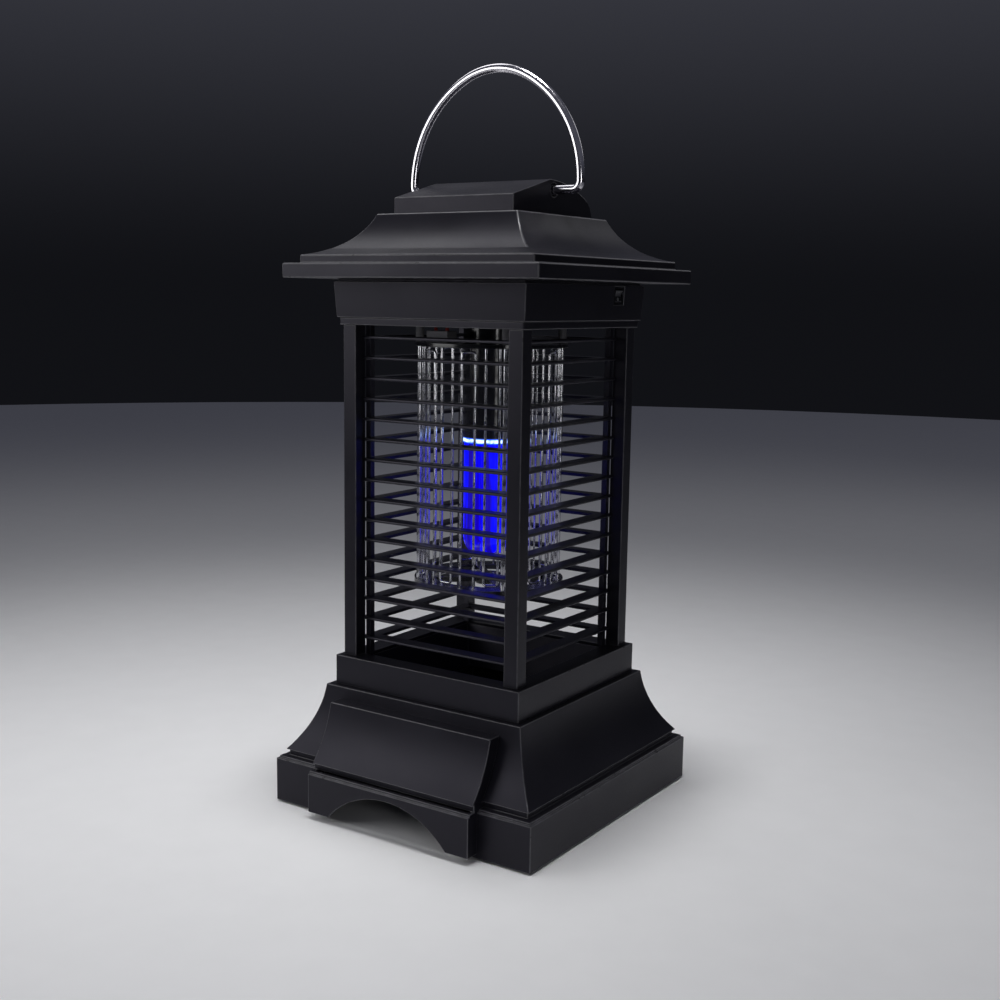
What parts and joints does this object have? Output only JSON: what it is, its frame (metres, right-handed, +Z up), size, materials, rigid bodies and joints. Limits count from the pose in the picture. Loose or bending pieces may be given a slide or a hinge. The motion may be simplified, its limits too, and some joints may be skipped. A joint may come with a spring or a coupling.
{
  "type": "electric bug zapper",
  "caption": "Square lantern-shaped electric bug zapper with louvred cage, wire grid round an ultraviolet lamp, flared base with pull-out debris tray, and folding wire bail.",
  "frame": {"origin": "middle of the footprint's box, on the surface the feet stand on", "axes": "+Z up, the debris tray slides out towards -Y, the power switch faces +X"},
  "size_m": [0.18, 0.1896, 0.4313],
  "materials": {
    "body_plastic": "satin moulded black",
    "louvre_plastic": "satin moulded black",
    "carrier_plastic": "smooth black",
    "holder_plastic": "smooth black",
    "switch_plastic": "gloss black",
    "insulator": "light grey",
    "chrome_wire": "polished",
    "grid_steel": "bright drawn wire",
    "screw_steel": "zinc plated",
    "lead_jacket": "red insulation",
    "lamp_glow": "lit collar",
    "lamp_glass": "lit ultraviolet tube",
    "board_laminate": "green laminate",
    "component": "moulded and wound parts",
    "cell_wrap": "shrink wrap",
    "rubber": "matt"
  },
  "bodies": {
    "lantern": {"rubber_feet": "rubber", "base_plate": "body_plastic", "base_screws": "screw_steel", "plinth": "body_plastic", "base_flare": "body_plastic", "cage_collar": "body_plastic", "debris_funnel": "body_plastic", "corner_posts": "body_plastic", "tie_rods": "screw_steel", "louvre_front": "louvre_plastic", "louvre_back": "louvre_plastic", "louvre_left": "louvre_plastic", "louvre_right": "louvre_plastic", "ceiling_plate": "body_plastic", "head_band": "body_plastic", "soffit_plate": "body_plastic", "soffit_screws": "screw_steel", "roof_shell": "body_plastic", "cap_block": "body_plastic", "cap_screws": "screw_steel", "pivot_bushes": "switch_plastic", "upper_carrier": "carrier_plastic", "lower_carrier": "carrier_plastic", "carrier_rods": "grid_steel", "carrier_spacers": "insulator", "rod_nuts": "grid_steel", "live_grid": "grid_steel", "return_grid": "grid_steel", "terminal_block": "insulator", "grid_leads": "lead_jacket", "lamp_holder": "holder_plastic", "lamp_collar": "lamp_glow", "lamp_tubes": "lamp_glass", "circuit_board": "board_laminate", "board_parts": "component", "transformer": "component", "battery_cells": "cell_wrap", "battery_cradle": "body_plastic", "switch_body": "switch_plastic", "charge_socket": "switch_plastic"},
    "tray": {"tray_front": "body_plastic", "tray_bin": "body_plastic", "tray_screws": "screw_steel"},
    "bail": {"bail_handle": "chrome_wire", "bail_collars": "screw_steel"},
    "rocker": {"switch_rocker": "switch_plastic"}
  },
  "joints": [
    {"name": "tray_slide", "type": "slide", "parent": "lantern", "child": "tray", "axis": [0, -1, 0], "range_m": [0, 0.115]},
    {"name": "bail_hinge", "type": "hinge", "parent": "lantern", "child": "bail", "pos_m": [0, 0.00475, 0.3599], "axis": [1, 0, 0], "range_deg": [-100, 100]},
    {"name": "power_rocker", "type": "hinge", "parent": "lantern", "child": "rocker", "pos_m": [0.0626, 0.03975, 0.3018], "axis": [0, 1, 0], "range_deg": [-14, 0]}
  ]
}
